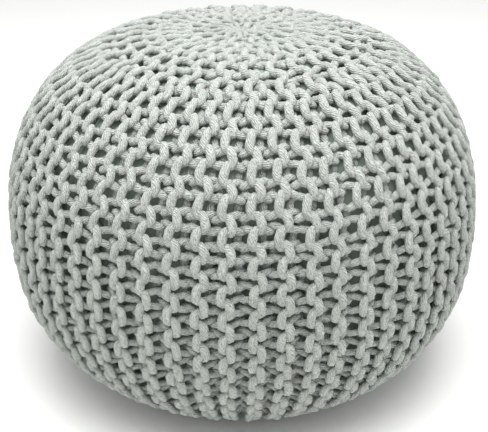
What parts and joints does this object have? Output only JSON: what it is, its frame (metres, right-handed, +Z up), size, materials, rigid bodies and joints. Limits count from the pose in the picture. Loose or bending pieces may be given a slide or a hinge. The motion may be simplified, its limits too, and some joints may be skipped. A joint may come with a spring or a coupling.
{
  "type": "knitted pouf",
  "caption": "Round floor pouf: a firm filled cushion in a thick cotton cord cover, knitted with raised ridges from pole to pole and resting on a flat foot.",
  "frame": {"origin": "middle of the flat foot, at floor level", "axes": "+Z up along the axis from pole to pole; the cover's ridges repeat round it, with a groove between two ridges on +X and on -Y"},
  "size_m": [0.4994, 0.4994, 0.371],
  "materials": {
    "cotton_cord": "matte twisted cotton cord, pale grey green"
  },
  "bodies": {
    "root": {"knitted_pouf": "cotton_cord"}
  },
  "joints": []
}
